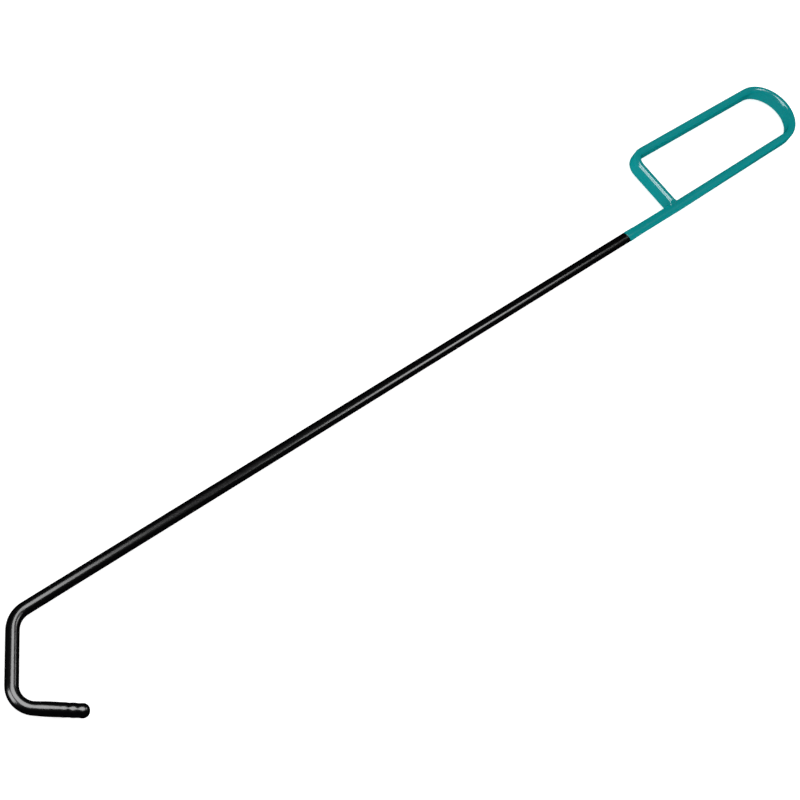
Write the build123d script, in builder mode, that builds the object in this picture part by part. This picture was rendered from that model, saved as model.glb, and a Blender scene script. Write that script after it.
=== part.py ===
"""Long-reach pull hook: one bent steel bar with a welded loop handle, dipped in two colours.

The tool lies flat. +X runs along the shaft from the hook to the handle, +Y points to the side
that the handle loop stands on, and +Z is up. The origin is the bottom centre of the whole tool.
All sizes are in millimetres and all angles in degrees.
"""

import os
from math import copysign, cos, radians, sin, tan
from typing import Callable, NamedTuple, Optional

from build123d import *

# ---------------------------------------------------------------- driving dimensions

# Steel bar
bar_diameter = 7.94        # 5/16 in round bar
shaft_length = 685.4       # corner of bend A to the middle of the handle's leg
hook_leg_length = 61.3     # corner of bend A to corner of bend B
tip_length = 48.3          # corner of bend B to the end of the bar
bend_a_turn = 53.5         # shaft to hook leg
bend_b_turn = 89.7         # hook leg to tip
bend_a_radius = 19.0       # radii are of the bar's centreline
bend_b_radius = 14.3
tip_rounding = 3.1         # worn-round edge of the cut end

# Handle loop, where the bar is pressed flat and stands on edge
strip_thickness = 4.4
strip_height = 12.4
loop_length = 189.8        # middle of the leg to the middle of the far end
loop_width = 56.8          # shaft centreline to the middle of the top side, at the leg
corner_radius = 12.0       # centreline radius of the corner above the leg
flatten_start = 8.0        # middle of the leg to where the round bar starts to flatten
weld_pull = 0.5            # turn that the weld's heat gives the bar, towards the leg
weld_pull_radius = 400.0
weld_pull_place = 4.0      # middle of the leg to the corner of that turn
loop_taper = 0.35          # turn of the top side that narrows the loop towards its far end

# Weld at the foot of the leg
root_gap = 0.4             # leg's cut end to the bar
weld_leg = 2.6             # size of the fillet inside the loop, along the bar and up the leg
weld_width = 7.0           # across the bar
weld_sink = 1.6            # height above the bar's centreline where the bead ends
weld_rounding = 1.4        # corners of the bead's foot
weld_step = 0.3            # bead's step outside the loop, and what is left of the fillet at its top

# Coats
shaft_coat = 0.65
tip_coat = 0.95            # the dip gathers at the tip, where it drained
tip_coat_length = 26.0     # evenly thick stretch there, before it thins out to the shaft's coat
grip_coat = 0.50
loop_coat = 1.10           # the loop hangs lowest in the dip and takes the thickest coat
grip_length = 63.4         # bare stretch of shaft that the handle's coat covers, up to the leg

# ---------------------------------------------------------------- worked-out sizes and places

bar_radius = bar_diameter / 2
grip_start = shaft_length - grip_length
bend_a_tangent = bend_a_radius * tan(radians(bend_a_turn / 2))
bend_b_tangent = bend_b_radius * tan(radians(bend_b_turn / 2))

leg_heading = 180 + bend_a_turn            # from bend A down the hook's leg
tip_heading = leg_heading + bend_b_turn    # from bend B out to the tip


def toward(heading: float, distance: float) -> Vector:
    """Step of a given length along a heading in the plan."""
    return Vector(cos(radians(heading)), sin(radians(heading)), 0) * distance


# Plan points, measured from the corner of bend A
pull_corner = Vector(shaft_length + weld_pull_place, 0)
pull_tangent = weld_pull_radius * tan(radians(weld_pull / 2))
top_heading = 180 - loop_taper             # from the far end back to the leg
loop_corner = Vector(shaft_length, loop_width)
corner_tangent = corner_radius * tan(radians((270 - top_heading) / 2))

# The far end's arc touches the lower side, which leaves pull_corner at weld_pull, and the top side,
# which meets the leg at loop_corner, where both sides close in by spread over a unit of length
spread = tan(radians(weld_pull)) + tan(radians(loop_taper))
widening = 1 / cos(radians(weld_pull)) + 1 / cos(radians(loop_taper))
far_end_radius = (
    loop_width - loop_length * spread + weld_pull_place * tan(radians(weld_pull))
) / (widening - spread)
far_reach = loop_length - far_end_radius   # middle of the leg to the arc's centre, along the shaft
far_centre = Vector(
    shaft_length + far_reach,
    (far_reach - weld_pull_place) * tan(radians(weld_pull))
    + far_end_radius / cos(radians(weld_pull)),
)
lower_side = (far_centre - pull_corner).dot(toward(weld_pull, 1))
top_side = (loop_corner - far_centre).dot(toward(top_heading, 1))

bend_b_corner = toward(leg_heading, hook_leg_length)
tip_end = bend_b_corner + toward(tip_heading, tip_length)
bend_b_centre = (
    bend_b_corner
    - toward(leg_heading, bend_b_tangent)
    + toward(leg_heading + 90, bend_b_radius)
)
tip_edge_centre = (
    tip_end
    - toward(tip_heading, tip_rounding)
    + toward(tip_heading - 90, bar_radius - tip_rounding)
)

# The whole tool's box, from which the origin follows
hook_side = bend_b_centre.X - bend_b_radius - bar_radius - shaft_coat
handle_side = shaft_length + loop_length + strip_thickness / 2 + loop_coat
tip_side = tip_edge_centre.Y - tip_rounding - tip_coat
loop_side = loop_width - corner_tangent + corner_radius + strip_thickness / 2 + loop_coat
middle = Vector((hook_side + handle_side) / 2, (tip_side + loop_side) / 2, 0)
mid_height = strip_height / 2 + loop_coat


def station(point: Vector, heading: float) -> Plane:
    """Plane square to the bar at a plan point: x is the bar's left side, y is up."""
    return Plane(
        origin=point - middle + Vector(0, 0, mid_height),
        x_dir=toward(heading + 90, 1),
        z_dir=toward(heading, 1),
    )


# ---------------------------------------------------------------- sections of the bar


class Cover(NamedTuple):
    """Thickness of a coat on the round bar and on the strip."""

    on_bar: float
    on_strip: float


bare = Cover(0, 0)
black = Cover(shaft_coat, shaft_coat)
teal = Cover(grip_coat, loop_coat)


def round_section(cover: Cover) -> None:
    """Round bar under a coat."""
    Circle(bar_radius + cover.on_bar)


def tip_section(_: Cover) -> None:
    """Round bar under the thicker coat of the tip."""
    Circle(bar_radius + tip_coat)


def strip_section(cover: Cover) -> None:
    """Flattened bar on edge under a coat."""
    both_coats = 2 * cover.on_strip
    SlotOverall(strip_height + both_coats, strip_thickness + both_coats, rotation=90)


def split_round_section(cover: Cover) -> None:
    """Round bar cut into the four arcs that flow into the strip's sides and caps."""
    side_arc = 50
    with BuildLine() as outline:
        for middle_angle, arc in ((0, side_arc), (90, 180 - side_arc)):
            for opposite in (0, 180):
                start = middle_angle + opposite - arc / 2
                CenterArc((0, 0), bar_radius + cover.on_bar, start, arc)
    make_face(outline.edges())


class Run(NamedTuple):
    """Straight stretch, which changes its section on the way if it has an end section."""

    length: float
    section: Callable[[Cover], None]
    end_section: Optional[Callable[[Cover], None]] = None


class Bend(NamedTuple):
    """Bend to the left for a positive turn, to the right for a negative one."""

    radius: float
    turn: float
    section: Callable[[Cover], None]


def carry(here: Plane, moves: list, cover: Cover) -> Part:
    """Solid of the bar and its cover along runs and bends that follow one another."""
    with BuildPart() as carried:
        for move in moves:
            with BuildSketch(here):
                move.section(cover)
            if isinstance(move, Bend):
                side = copysign(move.radius, move.turn)
                centre = here.origin + here.x_dir * side
                revolve(
                    axis=Axis(centre, (0, 0, copysign(1, move.turn))),
                    revolution_arc=abs(move.turn),
                )
                turned = here.rotated((0, 0, move.turn))
                here = Plane(centre - turned.x_dir * side, turned.x_dir, turned.z_dir)
            else:
                ahead = here.offset(move.length)
                if move.end_section:
                    with BuildSketch(ahead):
                        move.end_section(cover)
                    loft()
                else:
                    extrude(amount=move.length)
                here = ahead
    return carried.part


# ---------------------------------------------------------------- route of the bar

hook_bends = [
    Bend(bend_b_radius, -bend_b_turn, round_section),
    Run(hook_leg_length - bend_a_tangent - bend_b_tangent, round_section),
    Bend(bend_a_radius, -bend_a_turn, round_section),
    Run(grip_start - bend_a_tangent, round_section),
]
flatten_delay = flatten_start - weld_pull_place
handle_stub = [
    Run(grip_length + weld_pull_place - pull_tangent, round_section),
    Bend(weld_pull_radius, weld_pull, round_section),
    Run(flatten_delay - pull_tangent, round_section),
]
handle_loop = [
    Run(lower_side - flatten_delay, split_round_section, strip_section),
    Bend(far_end_radius, top_heading - weld_pull, strip_section),
    Run(top_side - corner_tangent, strip_section),
    Bend(corner_radius, 270 - top_heading, strip_section),
]
leg_run = loop_width - corner_tangent - bar_radius - root_gap

tip_run = tip_length - bend_b_tangent
tip_station = station(tip_end, tip_heading + 180)
grip_station = station(Vector(grip_start, 0), 0)
weld_foot = station(Vector(shaft_length, weld_sink), 90)
weld_top_height = bar_radius + root_gap + weld_leg

# ---------------------------------------------------------------- steel bar

whole_bar = carry(
    tip_station,
    [Run(tip_run, round_section)] + hook_bends + handle_stub + handle_loop
    + [Run(leg_run, strip_section)],
    cover=bare,
)

with BuildPart() as steel_bar:
    add(whole_bar)
    tip_edge = edges().filter_by(GeomType.CIRCLE).sort_by_distance(tip_station.origin)[0]
    fillet(tip_edge, tip_rounding)
steel_bar.part.label = "steel_bar"

# ---------------------------------------------------------------- weld bead


def bead(coat: float) -> Part:
    """Block of weld and coat around the leg's foot, with its fillet on the inside of the loop."""
    foot_length = strip_thickness + weld_leg + weld_step + 2 * coat
    top_length = strip_thickness + 2 * (weld_step + coat)
    width = weld_width + 2 * coat
    rounding = weld_rounding + coat
    with BuildPart() as block:
        with BuildSketch(weld_foot.offset(-coat)):
            with Locations(((weld_step - weld_leg) / 2, 0)):
                RectangleRounded(foot_length, width, rounding)
        with BuildSketch(weld_foot.offset(weld_top_height - weld_sink + coat)):
            RectangleRounded(top_length, width, rounding / 2)
        loft()
    return block.part


with BuildPart() as weld_fillet:
    add(bead(0))
    add(steel_bar.part, mode=Mode.SUBTRACT)
weld_fillet.part.label = "weld_fillet"

# ---------------------------------------------------------------- coat of the shaft and hook

coated_tip = [
    Run(tip_coat + tip_coat_length, tip_section),
    Run(tip_run - tip_coat_length, tip_section, round_section),
]
coated_hook = carry(tip_station.offset(-tip_coat), coated_tip + hook_bends, cover=black)

with BuildPart() as shaft_coating:
    add(coated_hook)
    coat_edge = edges().filter_by(GeomType.CIRCLE).sort_by_distance(tip_station.origin)[0]
    fillet(coat_edge, tip_rounding + tip_coat)
    add(steel_bar.part, mode=Mode.SUBTRACT)
shaft_coating.part.label = "shaft_coating"

# ---------------------------------------------------------------- coat of the handle

coated_handle = carry(
    grip_station,
    handle_stub + handle_loop + [Run(leg_run + grip_coat, strip_section)],
    cover=teal,
)

# Cut in one expression: the builder's own clean-up between the cuts spoils this skin at some sizes
handle_skin = coated_handle + bead(grip_coat) - steel_bar.part - weld_fillet.part
with BuildPart() as handle_grip:
    add(handle_skin)
handle_grip.part.label = "handle_grip"

# ---------------------------------------------------------------- files

os.makedirs("parts", exist_ok=True)
for piece in (steel_bar, weld_fillet, shaft_coating, handle_grip):
    export_step(piece.part, f"parts/{piece.part.label}.step")
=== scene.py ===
"""Looks of the long-reach pull hook: dipped coats, steel, studio stage and camera.

Laid out as an add-on and run as a script. Everything is in metres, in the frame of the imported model.
"""

from math import copysign, cos, pi, radians, sin, tan

import bmesh
import bpy
from bpy.props import FloatProperty, FloatVectorProperty, PointerProperty
from bpy.types import Operator, Panel, PropertyGroup
from mathutils import Matrix, Vector, noise


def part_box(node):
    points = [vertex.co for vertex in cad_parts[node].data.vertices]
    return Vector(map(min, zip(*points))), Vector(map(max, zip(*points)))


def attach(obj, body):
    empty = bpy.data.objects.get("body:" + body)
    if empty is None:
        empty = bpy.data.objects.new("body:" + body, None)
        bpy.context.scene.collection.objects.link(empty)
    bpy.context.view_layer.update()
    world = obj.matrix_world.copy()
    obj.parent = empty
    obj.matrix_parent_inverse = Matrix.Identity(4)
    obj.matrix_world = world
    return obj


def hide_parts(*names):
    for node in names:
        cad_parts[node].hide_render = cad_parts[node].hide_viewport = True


bl_info = {
    "name": "Pull hook looks",
    "version": (1, 0, 0),
    "blender": (4, 5, 0),
    "location": "View3D > Sidebar > Pull hook",
    "description": "Coats, steel, stage and camera of a long-reach pull hook",
    "category": "Object",
}

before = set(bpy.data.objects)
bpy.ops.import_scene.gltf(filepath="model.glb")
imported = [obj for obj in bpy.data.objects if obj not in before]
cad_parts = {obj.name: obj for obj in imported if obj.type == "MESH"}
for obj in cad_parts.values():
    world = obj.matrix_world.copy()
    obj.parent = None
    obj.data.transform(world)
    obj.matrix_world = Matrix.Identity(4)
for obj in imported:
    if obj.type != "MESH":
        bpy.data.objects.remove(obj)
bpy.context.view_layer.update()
BODY = "root"
MM = 0.001
SKIN_MARGIN = 0.05 * MM     # keeps the smooth skins inside the model's faceted ones

BAR_RADIUS_MM = 3.97
SHAFT_COAT_MM = 0.65
SHAFT_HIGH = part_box("shaft_coating")[1]
GRIP_LOW, GRIP_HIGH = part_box("handle_grip")
GRIP_START = SHAFT_HIGH.x
AXIS_Y = SHAFT_HIGH.y - (BAR_RADIUS_MM + SHAFT_COAT_MM) * MM
MID_HEIGHT = (GRIP_LOW.z + GRIP_HIGH.z) / 2

# Soft boxes: name, place, point that they face, width and height, all in metres, and watts
SOFT_BOXES = (
    ("overhead_hook", (-0.46, 0.14, 1.2), (-0.46, 0.14, 0), (1.24, 1.05), 36),
    ("overhead_handle", (0.94, -0.53, 1.2), (0.94, -0.53, 0), (0.48, 0.74), 9.3),
    ("low_side", (-1.5, 0.40, 0.55), (0.2, 0.04, 0), (0.8, 1.0), 22),
)

# Places of the Mix node's sockets for two colours and of the colour that it gives
MIX_FIRST, MIX_SECOND, MIX_RESULT = 6, 7, 2


# ---------------------------------------------------------------- sizes and colours


def size(name, description, default_mm):
    """Length that a user may change, given in millimetres."""
    return FloatProperty(
        name=name, description=description, default=default_mm * MM, unit="LENGTH", precision=5
    )


def angle(name, description, default_degrees):
    """Angle that a user may change, given in degrees."""
    return FloatProperty(
        name=name, description=description, default=radians(default_degrees), subtype="ANGLE"
    )


def colour(name, description, default):
    """Colour that a user may change, from its sRGB hex value."""
    return FloatVectorProperty(
        name=name, description=description, default=linear(default), subtype="COLOR", size=3
    )


def linear(code):
    """Linear colour of an sRGB hex value."""
    shares = (int(code[i:i + 2], 16) / 255 for i in (1, 3, 5))
    return tuple(s / 12.92 if s <= 0.04045 else ((s + 0.055) / 1.055) ** 2.4 for s in shares)


class HookSizes(PropertyGroup):
    """Sizes of the bar from the tip to the handle's coat."""

    bar_radius: size("Bar radius", "Radius of the round bar", BAR_RADIUS_MM)
    coat: size("Shaft coat", "Thickness of the black coat", SHAFT_COAT_MM)
    tip_coat: size("Tip coat", "Thickness of the black coat at the tip", 0.95)
    tip_coat_length: size("Tip coat length", "Stretch with the thicker coat", 26.0)
    tip_length: size("Tip", "Corner of bend B to the end of the bar", 48.3)
    tip_rounding: size("Tip rounding", "Rounded edge of the bar's end", 3.1)
    leg_length: size("Hook leg", "Corner of bend A to corner of bend B", 61.3)
    straight_shaft: size("Shaft", "Corner of bend A to the handle's coat", 622.0)
    bend_a_radius: size("Bend A radius", "Centreline radius between shaft and leg", 19.0)
    bend_b_radius: size("Bend B radius", "Centreline radius between leg and tip", 14.3)
    bend_a_turn: angle("Bend A turn", "Turn from the shaft to the leg", 53.5)
    bend_b_turn: angle("Bend B turn", "Turn from the leg to the tip", 89.7)
    tucked_length: size("Tucked length", "Full-thickness black coat under the teal one", 2.6)
    tucked_taper: size("Tucked taper", "End of the black coat under the teal one", 1.4)
    bead_length: size("Bead length", "Length of the beads that the dip left at the tip", 6.0)
    bead_depth: size("Bead depth", "Depth between those beads", 0.34)
    first_bead: size("First bead", "Tip's end to the crest of the first bead", 4.5)
    bead_grain: size("Bead grain", "Grain of the noise that makes the beads uneven", 3.0)
    beads_end: size("Beads end", "Tip's end to where the beads start to fade", 15.0)
    ripple: size("Ripple", "Depth of the slow ripple along the shaft's coat", 0.06)
    ripple_grain: size("Ripple grain", "Grain of that ripple", 9.0)
    peel: size("Peel", "Depth of the black coat's orange peel", 0.012)


class GripSizes(PropertyGroup):
    """Sizes of the handle's loop and its coat."""

    coat: size("Grip coat", "Thickness of the teal coat on the round bar", 0.50)
    loop_coat: size("Loop coat", "Thickness of the teal coat on the loop", 1.10)
    strip_thickness: size("Strip thickness", "Flattened bar, in the loop's plane", 4.4)
    strip_height: size("Strip height", "Flattened bar, square to the loop's plane", 12.4)
    stub_length: size("Stub", "Start of the coat to the middle of the leg", 63.4)
    loop_length: size("Loop length", "Middle of the leg to the middle of the far end", 189.8)
    loop_width: size("Loop width", "Shaft centreline to the top side, at the leg", 56.8)
    corner_radius: size("Corner radius", "Centreline radius above the leg", 12.0)
    weld_pull: angle("Weld pull", "Turn that the weld gave the bar", 0.5)
    weld_pull_radius: size("Weld pull radius", "Radius of that turn", 400.0)
    loop_taper: angle("Loop taper", "Turn that narrows the loop to its far end", 0.35)
    rim: size("Rim", "Step of the teal coat over the black one", 0.14)
    rim_length: size("Rim length", "Stretch over which the rim holds", 5.0)
    lip_band: size("Lip band", "Each of the two short bands that round the lip", 0.3)
    lip_rounding: size("Lip rounding", "How far below the rim the first of them ends", 0.05)
    dip_lean: size("Dip lean", "Dip line's lean towards the hook, on top", 2.6)
    dip_turn: size("Dip turn", "Dip line's lean towards the hook, on the loop's side", 0.4)
    toe_outside: size("Outer toe", "Coated weld outside the leg, along the shaft", 0.6)
    toe_inside: size("Inner toe", "Coated weld inside the loop, along the shaft", 2.8)
    foot_height: size("Foot", "Stub's skin to the end of the leg's skin", 0.4)
    guard: size("Guard", "Short bands beside the weld that keep its edges crisp", 1.2)
    window: angle("Window", "Half the arc of the stub's skin that the leg's foot opens", 58)
    ripple: size("Ripple", "Depth of the slow ripple in the dipped coat", 0.08)
    ripple_grain: size("Ripple grain", "Grain of that ripple", 14.0)
    peel: size("Peel", "Depth of the teal coat's orange peel", 0.004)


class Finishes(PropertyGroup):
    """Colours of the finishes and the stage."""

    black_dip: colour("Black dip", "Black plastic coat", "#030304")
    black_thin: colour("Thin black dip", "Black plastic coat where it is rubbed", "#060607")
    teal_dip: colour("Teal dip", "Teal vinyl coat", "#008C8E")
    teal_thin: colour("Thin teal dip", "Teal vinyl coat where it is thin", "#008789")
    drawn_steel: colour("Drawn steel", "Bar under the coats", "#8F9194")
    weld_metal: colour("Weld metal", "Weld bead under the coat", "#6E6A66")
    floor_paper: colour("Floor", "Studio paper", "#F6F6F5")


class StageSizes(PropertyGroup):
    """Camera and stage."""

    lens: FloatProperty(name="Lens", description="Focal length in millimetres", default=82.28)
    distance: size("Distance", "Camera to the point it looks at", 1351.4)
    aim_along: size("Aim along", "Start of the handle's coat to the point looked at", -282.6)
    aim_across: size("Aim across", "Shaft's centreline to the point looked at", -14.9)
    azimuth: angle("Azimuth", "Camera's bearing from the tool", -161.58)
    elevation: angle("Elevation", "Camera's height angle", 53.23)
    roll: angle("Roll", "Camera's turn about its line of sight", -35.34)
    floor_side: size("Floor side", "Side of the floor", 9000.0)
    floor_glow: FloatProperty(name="Floor glow", description="Light of the floor", default=0.62)
    ambient: FloatProperty(name="Ambient", description="Even light from all round", default=0.95)


# ---------------------------------------------------------------- a ring carried along the bar


RING_POINTS = 32
SIDE_ARC = pi * 4 / RING_POINTS        # half of the arc that becomes one flat side of the strip
RING_SHRINK = (2 + cos(2 * pi / RING_POINTS)) / 3   # how far subdivision pulls a ring inwards


def heading_vector(heading):
    """Unit vector of a heading in the plan."""
    return Vector((cos(heading), sin(heading), 0))


class Ring:
    """Open ring of the skin that grows a tube, closed at its start, along the bar's route."""

    def __init__(self, bm, centre, heading, radius):
        self.bm = bm
        self.around = bm.verts.layers.float.new("around")
        self.centre = Vector(centre)
        self.heading = heading
        self.radius = radius
        self.strip = (radius, 0)
        self.flatness = 0
        made = bmesh.ops.create_circle(bm, cap_ends=True, radius=radius, segments=RING_POINTS)
        for number, vert in enumerate(made["verts"]):
            vert[self.around] = 2 * pi * number / RING_POINTS
        self.verts = made["verts"]
        self.edges = list({edge for vert in self.verts for edge in vert.link_edges})
        self.lay()

    @property
    def across(self):
        """Unit vector to the left of the heading."""
        return heading_vector(self.heading + pi / 2)

    def section(self, angle):
        """Place of a ring point across and above the centre, between round bar and strip."""
        half, lift = self.strip
        quarter = min(angle % pi, pi - angle % pi)
        side = copysign(1, cos(angle))
        up = copysign(1, sin(angle))
        if quarter <= SIDE_ARC:
            flat = Vector((side * half, up * lift * quarter / SIDE_ARC))
        else:
            turn = (quarter - SIDE_ARC) / (pi / 2 - SIDE_ARC) * pi / 2
            flat = Vector((side * half * cos(turn), up * (lift + half * sin(turn))))
        round_point = Vector((cos(angle), sin(angle))) * self.radius
        return round_point.lerp(flat, self.flatness) / RING_SHRINK

    def lay(self):
        """Put the open ring's points in place."""
        for vert in self.verts:
            aside, above = self.section(vert[self.around])
            vert.co = self.centre + self.across * aside + Vector((0, 0, above))

    def take(self, geometry):
        """Make new geometry's boundary the open ring."""
        self.verts = [g for g in geometry if isinstance(g, bmesh.types.BMVert)]
        self.edges = [g for g in geometry if isinstance(g, bmesh.types.BMEdge)]

    def grow(self):
        """Grow one band of faces to the ring's present centre and section."""
        grown = bmesh.ops.extrude_edge_only(self.bm, edges=self.edges)
        self.take(grown["geom"])
        self.lay()

    def run(self, length, steps=1, flatness=None, radius=None):
        """Straight stretch, which may change its section evenly on the way."""
        flat_before, radius_before = self.flatness, self.radius
        for step in range(1, steps + 1):
            self.centre += heading_vector(self.heading) * length / steps
            share = step / steps
            if flatness is not None:
                self.flatness = flat_before + (flatness - flat_before) * share
            if radius is not None:
                self.radius = radius_before + (radius - radius_before) * share
            self.grow()

    def bend(self, radius, turn, steps):
        """Bend to the left for a positive turn, to the right for a negative one."""
        side = copysign(radius, turn)
        pivot = self.centre + self.across * side
        spun = bmesh.ops.spin(
            self.bm, geom=self.verts + self.edges, cent=pivot, axis=(0, 0, 1),
            angle=turn, steps=steps, use_duplicate=False,
        )
        self.take(spun["geom_last"])
        self.heading += turn
        self.centre = pivot - self.across * side

    def round_off(self, rounding, steps):
        """End with a rounded edge and a flat middle."""
        base, flat = self.centre.copy(), self.radius - rounding
        for step in range(1, steps + 1):
            turn = pi / 2 * step / steps
            self.centre = base + heading_vector(self.heading) * rounding * sin(turn)
            self.radius = flat + rounding * cos(turn)
            self.grow()
        cap = bmesh.ops.contextual_create(self.bm, geom=self.edges)["faces"]
        bmesh.ops.inset_region(self.bm, faces=cap, thickness=flat / 2, use_even_offset=True)
        bmesh.ops.poke(self.bm, faces=cap)


def swell(point, grain):
    """Slow noise from 0 to 1 whose waves are about twice the grain long."""
    return 0.5 - noise.noise(point / grain) / 2


def sink(bm, depth_at):
    """Sink each point along its normal by the depth that depth_at gives there."""
    bm.normal_update()
    moved = [(vert, vert.normal * (SKIN_MARGIN + depth_at(vert.co))) for vert in bm.verts]
    for vert, step in moved:
        vert.co -= step


def piece_from(bm, name, node, material):
    """Make the finished, smooth object that stands for a node of the frame."""
    bmesh.ops.recalc_face_normals(bm, faces=bm.faces)
    mesh = bpy.data.meshes.new(name)
    bm.to_mesh(mesh)
    bm.free()
    mesh.attributes.remove(mesh.attributes["around"])
    mesh.shade_smooth()
    piece = bpy.data.objects.new(name, mesh)
    bpy.context.scene.collection.objects.link(piece)
    smooth = piece.modifiers.new("Smooth skin", "SUBSURF")
    smooth.levels = smooth.render_levels = 2
    mesh.materials.append(material)
    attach(piece, BODY)
    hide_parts(node)


# ---------------------------------------------------------------- finishes


def add_node(tree, kind, inputs=(), **settings):
    """Add a node with its settings; inputs are pairs of a socket and a value or an output."""
    node = tree.nodes.new(kind)
    for key, value in settings.items():
        setattr(node, key, value)
    for socket, value in dict(inputs).items():
        if isinstance(value, bpy.types.NodeSocket):
            tree.links.new(value, node.inputs[socket])
        else:
            node.inputs[socket].default_value = value
    return node


def new_material(name):
    """Empty node material and its tree."""
    material = bpy.data.materials.new(name)
    material.use_nodes = True
    material.node_tree.nodes.clear()
    return material, material.node_tree


def dipped_plastic(name, thick, thin, roughness, peel_depth):
    """Dipped plastisol: smooth and wet-looking, with a faint orange peel and soft smears."""
    material, tree = new_material(name)
    point = add_node(tree, "ShaderNodeTexCoord").outputs["Object"]
    # The melt levels out before it sets, so only a shallow peel about 2 mm across is left.
    peel = add_node(
        tree, "ShaderNodeTexNoise", {"Vector": point, "Scale": 1 / (2.2 * MM), "Detail": 2.0}
    ).outputs["Fac"]
    # Handling leaves broad smears, about 35 mm across, that are a little duller.
    smear = add_node(
        tree, "ShaderNodeTexNoise", {"Vector": point, "Scale": 1 / (35 * MM), "Detail": 4.0}
    ).outputs["Fac"]
    shade = add_node(
        tree, "ShaderNodeMix",
        {"Factor": smear, MIX_FIRST: (*thin, 1), MIX_SECOND: (*thick, 1)}, data_type="RGBA",
    ).outputs[MIX_RESULT]
    gloss = add_node(
        tree, "ShaderNodeMapRange",
        {"Value": smear, "To Min": roughness - 0.03, "To Max": roughness + 0.03},
    ).outputs["Result"]
    bump = add_node(
        tree, "ShaderNodeBump", {"Height": peel, "Strength": 0.25, "Distance": peel_depth}
    ).outputs["Normal"]
    shader = add_node(
        tree, "ShaderNodeBsdfPrincipled",
        {"Base Color": shade, "Roughness": gloss, "IOR": 1.53, "Normal": bump},
    )
    add_node(tree, "ShaderNodeOutputMaterial", {"Surface": shader.outputs["BSDF"]})
    return material


def drawn_steel(tint):
    """Cold-drawn mild steel: fine lines along the bar and a soft grey gloss."""
    material, tree = new_material("Drawn mild steel")
    point = add_node(tree, "ShaderNodeTexCoord").outputs["Object"]
    # Drawing lines run along the bar, 0.4 mm apart.
    stretched = add_node(
        tree, "ShaderNodeMapping", {"Vector": point, "Scale": (0.02, 1, 1)}
    ).outputs["Vector"]
    lines = add_node(
        tree, "ShaderNodeTexNoise", {"Vector": stretched, "Scale": 1 / (0.4 * MM), "Detail": 3.0}
    ).outputs["Fac"]
    gloss = add_node(
        tree, "ShaderNodeMapRange", {"Value": lines, "To Min": 0.28, "To Max": 0.45}
    ).outputs["Result"]
    shader = add_node(
        tree, "ShaderNodeBsdfPrincipled",
        {"Base Color": (*tint, 1), "Metallic": 1.0, "Roughness": gloss},
    )
    add_node(tree, "ShaderNodeOutputMaterial", {"Surface": shader.outputs["BSDF"]})
    return material


def weld_metal(tint):
    """Mild steel weld bead: dull, with ripples across it."""
    material, tree = new_material("Weld metal")
    point = add_node(tree, "ShaderNodeTexCoord").outputs["Object"]
    # Ripples are 1.5 mm apart; a wave texture turns 20 radians over one unit of its scale.
    ripples = add_node(
        tree, "ShaderNodeTexWave",
        {"Vector": point, "Scale": 2 * pi / 20 / (1.5 * MM), "Distortion": 2.0},
    ).outputs["Fac"]
    bump = add_node(
        tree, "ShaderNodeBump", {"Height": ripples, "Distance": 0.1 * MM}
    ).outputs["Normal"]
    gloss = add_node(
        tree, "ShaderNodeMapRange", {"Value": ripples, "To Min": 0.4, "To Max": 0.6}
    ).outputs["Result"]
    shader = add_node(
        tree, "ShaderNodeBsdfPrincipled",
        {"Base Color": (*tint, 1), "Metallic": 1.0, "Roughness": gloss, "Normal": bump},
    )
    add_node(tree, "ShaderNodeOutputMaterial", {"Surface": shader.outputs["BSDF"]})
    return material


def studio_paper(tint, glow):
    """Seamless background paper: pale, matte and lit from behind, with a barely visible mottle."""
    material, tree = new_material("Studio paper")
    point = add_node(tree, "ShaderNodeTexCoord").outputs["Object"]
    # Paper fibres cloud at about 60 mm.
    mottle = add_node(
        tree, "ShaderNodeTexNoise", {"Vector": point, "Scale": 1 / (60 * MM), "Detail": 3.0}
    ).outputs["Fac"]
    darker = tuple(0.985 * share for share in tint)
    shade = add_node(
        tree, "ShaderNodeMix",
        {"Factor": mottle, MIX_FIRST: (*tint, 1), MIX_SECOND: (*darker, 1)}, data_type="RGBA",
    ).outputs[MIX_RESULT]
    shader = add_node(
        tree, "ShaderNodeBsdfPrincipled",
        {
            "Base Color": shade,
            "Roughness": 0.9,
            "Specular IOR Level": 0.2,
            "Emission Color": (1, 1, 1, 1),
            "Emission Strength": glow,
        },
    )
    add_node(tree, "ShaderNodeOutputMaterial", {"Surface": shader.outputs["BSDF"]})
    return material


# ---------------------------------------------------------------- pieces


def loop_route(grip, pull_place):
    """Far end's radius, the two long sides, and the corner's turn and tangent, from the leg on."""
    spread = tan(grip.weld_pull) + tan(grip.loop_taper)
    widening = 1 / cos(grip.weld_pull) + 1 / cos(grip.loop_taper)
    far_radius = (
        grip.loop_width - grip.loop_length * spread + pull_place * tan(grip.weld_pull)
    ) / (widening - spread)
    reach = grip.loop_length - far_radius
    from_pull = reach - pull_place
    far_y = from_pull * tan(grip.weld_pull) + far_radius / cos(grip.weld_pull)
    lower_side = from_pull * cos(grip.weld_pull) + far_y * sin(grip.weld_pull)
    top_side = reach * cos(grip.loop_taper) + (grip.loop_width - far_y) * sin(grip.loop_taper)
    corner_turn = pi / 2 + grip.loop_taper
    return far_radius, lower_side, top_side, corner_turn, grip.corner_radius * tan(corner_turn / 2)


def lean_dip_line(bm, grip, radius):
    """Lean the coat's first rings towards the hook, most at the very edge."""
    fade = 2 * grip.rim_length
    for vert in bm.verts:
        share = max(0.0, 1 - (vert.co.x - GRIP_START) / fade)
        above = (vert.co.z - MID_HEIGHT) / radius
        aside = (vert.co.y - AXIS_Y) / radius
        vert.co.x -= share * (grip.dip_lean * above + grip.dip_turn * aside)


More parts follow.
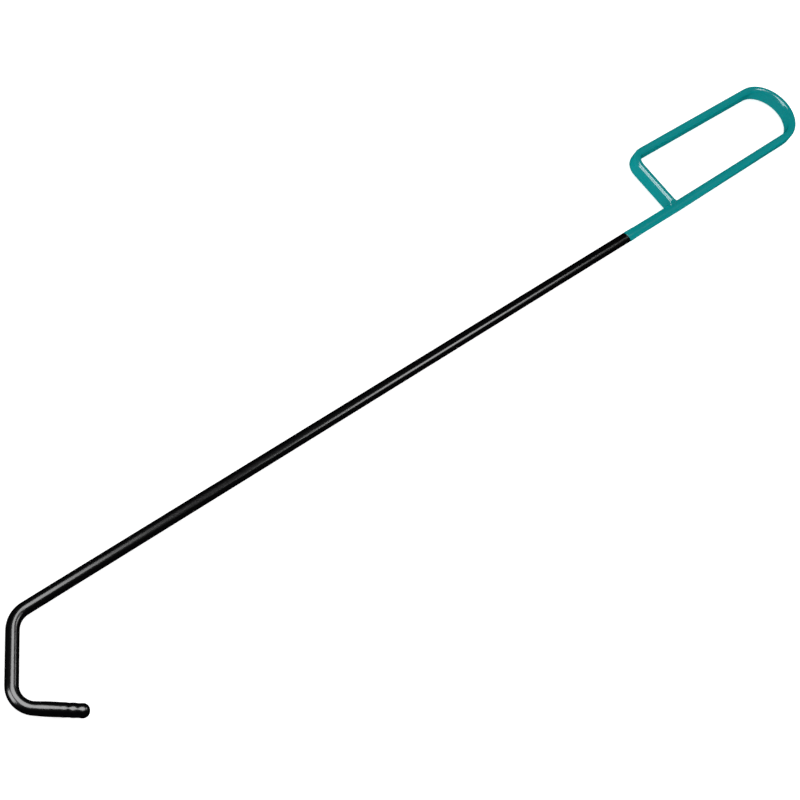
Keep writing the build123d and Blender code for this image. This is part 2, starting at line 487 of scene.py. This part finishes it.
class HOOK_OT_steel(Operator):
    """Give the steel bar and its weld their metals"""

    bl_idname = "hook.steel"
    bl_label = "Steel and weld"

    def execute(self, context):
        finishes = context.scene.hook_finishes
        for node, material in (
            ("steel_bar", drawn_steel(finishes.drawn_steel)),
            ("weld_fillet", weld_metal(finishes.weld_metal)),
        ):
            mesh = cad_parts[node].data
            mesh.materials.clear()
            mesh.materials.append(material)
        return {"FINISHED"}


class HOOK_OT_shaft_coat(Operator):
    """Build the black dipped coat of the shaft and hook"""

    bl_idname = "hook.shaft_coat"
    bl_label = "Shaft coat"

    def execute(self, context):
        hook = context.scene.hook_sizes
        finishes = context.scene.hook_finishes
        radius = hook.bar_radius + hook.coat
        tip_radius = hook.bar_radius + hook.tip_coat
        rounding = hook.tip_rounding + hook.tip_coat
        tangent_a = hook.bend_a_radius * tan(hook.bend_a_turn / 2)
        tangent_b = hook.bend_b_radius * tan(hook.bend_b_turn / 2)
        thinning = hook.tip_length - tangent_b - hook.tip_coat_length
        even_tip = hook.tip_coat_length + hook.tip_coat - rounding
        tucked = hook.tucked_length + hook.tucked_taper

        bm = bmesh.new()
        ring = Ring(bm, (GRIP_START + tucked, AXIS_Y, MID_HEIGHT), pi, hook.bar_radius)
        ring.run(hook.tucked_taper, steps=2, radius=radius)
        ring.run(hook.straight_shaft + hook.tucked_length - tangent_a, steps=90)
        ring.bend(hook.bend_a_radius, hook.bend_a_turn, steps=10)
        ring.run(hook.leg_length - tangent_a - tangent_b, steps=8)
        ring.bend(hook.bend_b_radius, hook.bend_b_turn, steps=14)
        ring.run(thinning, steps=4, radius=tip_radius)
        ring.run(even_tip, steps=22)
        ring.round_off(rounding, steps=6)
        bmesh.ops.recalc_face_normals(bm, faces=bm.faces)

        tip_end, tip_heading = ring.centre.copy(), heading_vector(ring.heading)

        def depth_at(point):
            """Slow ripple, and beads near the tip, where the dip ran together."""
            from_end = (tip_end - point).dot(tip_heading)
            near_tip = (point - tip_end).length < hook.tip_coat_length
            fade = max(0.0, 1 - max(0.0, from_end - hook.beads_end) / hook.bead_length)
            gap = 0.5 - 0.5 * cos(2 * pi * (from_end - hook.first_bead) / hook.bead_length)
            uneven = 0.4 + 0.6 * swell(point, hook.bead_grain)
            slow = hook.ripple * swell(point, hook.ripple_grain)
            return slow + hook.bead_depth * near_tip * fade * gap * uneven

        sink(bm, depth_at)
        dip = dipped_plastic(
            "Black plastisol dip", finishes.black_dip, finishes.black_thin, 0.20, hook.peel
        )
        piece_from(bm, "shaft_coat", "shaft_coating", dip)
        return {"FINISHED"}


class HOOK_OT_grip_coat(Operator):
    """Build the teal dipped coat of the handle"""

    bl_idname = "hook.grip_coat"
    bl_label = "Handle coat"

    def execute(self, context):
        hook = context.scene.hook_sizes
        grip = context.scene.grip_sizes
        finishes = context.scene.hook_finishes
        radius = hook.bar_radius + grip.coat
        rim_radius = hook.bar_radius + hook.coat + grip.rim
        half_strip = grip.strip_thickness / 2 + grip.loop_coat
        leg_x = GRIP_START + grip.stub_length
        toe_low = leg_x - half_strip - grip.toe_outside
        toe_high = leg_x + half_strip + grip.toe_inside
        pull_tangent = grip.weld_pull_radius * tan(grip.weld_pull / 2)
        far_radius, lower_side, top_side, corner_turn, corner_tangent = loop_route(
            grip, toe_high - leg_x + pull_tangent
        )

        bm = bmesh.new()
        ring = Ring(bm, (GRIP_START, AXIS_Y, MID_HEIGHT), 0, hook.bar_radius + hook.coat / 2)
        ring.strip = (half_strip, (grip.strip_height - grip.strip_thickness) / 2)
        ring.run(grip.lip_band, radius=rim_radius - grip.lip_rounding)
        ring.run(grip.lip_band, radius=rim_radius)
        ring.run(grip.rim_length, steps=3)
        ring.run(2 * grip.rim_length, steps=5, radius=radius)
        lean_dip_line(bm, grip, hook.bar_radius + hook.coat)
        ring.run(toe_low - ring.centre.x - grip.guard, steps=12)
        ring.run(grip.guard)
        ring.run(toe_high - toe_low, steps=6)
        ring.bend(grip.weld_pull_radius, grip.weld_pull, steps=2)
        ring.run(lower_side - pull_tangent, steps=20, flatness=1)
        ring.bend(far_radius, pi - grip.weld_pull - grip.loop_taper, steps=28)
        ring.run(top_side - corner_tangent, steps=16)
        ring.bend(grip.corner_radius, corner_turn, steps=10)
        foot = AXIS_Y + radius + grip.foot_height
        ring.run(ring.centre.y - foot - grip.guard, steps=6)
        ring.run(grip.guard)

        # The foot of the leg opens into a window in the stub's skin.
        window_low = AXIS_Y + radius * cos(grip.window)
        window = []
        for face in bm.faces:
            middle = face.calc_center_median()
            if toe_low < middle.x < toe_high and window_low < middle.y < foot:
                window.append(face)
        bmesh.ops.delete(bm, geom=window, context="FACES")
        rims = [
            edge for edge in bm.edges
            if edge.is_boundary and edge.verts[0].co.x > GRIP_START + 2 * grip.rim_length
        ]
        bmesh.ops.bridge_loops(bm, edges=rims)
        bmesh.ops.recalc_face_normals(bm, faces=bm.faces)

        sink(bm, lambda point: grip.ripple * swell(point, grip.ripple_grain))
        dip = dipped_plastic(
            "Teal vinyl dip", finishes.teal_dip, finishes.teal_thin, 0.17, grip.peel
        )
        piece_from(bm, "grip_coat", "handle_grip", dip)
        return {"FINISHED"}


# ---------------------------------------------------------------- stage


def soft_box(name, place, aim, sides, power):
    """Soft box that only the glossy coats show."""
    data = bpy.data.lights.new(name, "AREA")
    data.shape = "RECTANGLE"
    data.size, data.size_y = sides
    data.energy = power
    light = bpy.data.objects.new(name, data)
    light.visible_diffuse = False
    bpy.context.scene.collection.objects.link(light)
    light.location = place
    light.rotation_euler = (Vector(place) - Vector(aim)).to_track_quat("Z", "Y").to_euler()


class HOOK_OT_stage(Operator):
    """Set up the floor, the lights and the camera"""

    bl_idname = "hook.stage"
    bl_label = "Stage"

    def execute(self, context):
        scene = context.scene
        stage = scene.stage_sizes
        scene.view_settings.view_transform = "Standard"

        bm = bmesh.new()
        bmesh.ops.create_grid(bm, x_segments=1, y_segments=1, size=stage.floor_side / 2)
        mesh = bpy.data.meshes.new("floor")
        bm.to_mesh(mesh)
        bm.free()
        floor = bpy.data.objects.new("floor", mesh)
        scene.collection.objects.link(floor)
        mesh.materials.append(studio_paper(scene.hook_finishes.floor_paper, stage.floor_glow))
        floor.visible_glossy = False

        world = bpy.data.worlds.new("Studio")
        scene.world = world
        world.use_nodes = True
        background = world.node_tree.nodes["Background"]
        background.inputs["Color"].default_value = (1, 1, 1, 1)
        background.inputs["Strength"].default_value = stage.ambient
        world.cycles_visibility.glossy = False

        for box in SOFT_BOXES:
            soft_box(*box)

        camera_data = bpy.data.cameras.new("camera")
        camera_data.lens = stage.lens
        camera_data.clip_end = 50
        camera = bpy.data.objects.new("camera", camera_data)
        scene.collection.objects.link(camera)
        aim = Vector((GRIP_START + stage.aim_along, AXIS_Y + stage.aim_across, MID_HEIGHT))
        back = heading_vector(stage.azimuth) * cos(stage.elevation)
        back.z = sin(stage.elevation)
        turn = back.to_track_quat("Z", "Y").to_matrix().to_4x4()
        rolled = turn @ Matrix.Rotation(-stage.roll, 4, "Z")
        camera.matrix_world = Matrix.Translation(aim + back * stage.distance) @ rolled
        scene.camera = camera
        return {"FINISHED"}


class HOOK_PT_panel(Panel):
    """Lists the pieces and their sizes"""

    bl_label = "Pull hook"
    bl_idname = "HOOK_PT_panel"
    bl_space_type = "VIEW_3D"
    bl_region_type = "UI"
    bl_category = "Pull hook"

    def draw(self, context):
        for operator in OPERATORS:
            self.layout.operator(operator.bl_idname)
        for holder in SETTINGS:
            settings = getattr(context.scene, holder)
            box = self.layout.box()
            for key in settings.__annotations__:
                box.prop(settings, key)


OPERATORS = (HOOK_OT_steel, HOOK_OT_shaft_coat, HOOK_OT_grip_coat, HOOK_OT_stage)
SETTINGS = {
    "hook_sizes": HookSizes,
    "grip_sizes": GripSizes,
    "hook_finishes": Finishes,
    "stage_sizes": StageSizes,
}


def register():
    """Register the classes and the scene's settings."""
    for group in SETTINGS.values():
        bpy.utils.register_class(group)
    for operator in OPERATORS:
        bpy.utils.register_class(operator)
    bpy.utils.register_class(HOOK_PT_panel)
    for holder, group in SETTINGS.items():
        setattr(bpy.types.Scene, holder, PointerProperty(type=group))


def unregister():
    """Remove the scene's settings and the classes."""
    for holder in SETTINGS:
        delattr(bpy.types.Scene, holder)
    bpy.utils.unregister_class(HOOK_PT_panel)
    for operator in reversed(OPERATORS):
        bpy.utils.unregister_class(operator)
    for group in SETTINGS.values():
        bpy.utils.unregister_class(group)


def main():
    """Build every piece in order."""
    register()
    bpy.ops.hook.steel()
    bpy.ops.hook.shaft_coat()
    bpy.ops.hook.grip_coat()
    bpy.ops.hook.stage()


if __name__ == "__main__":
    main()
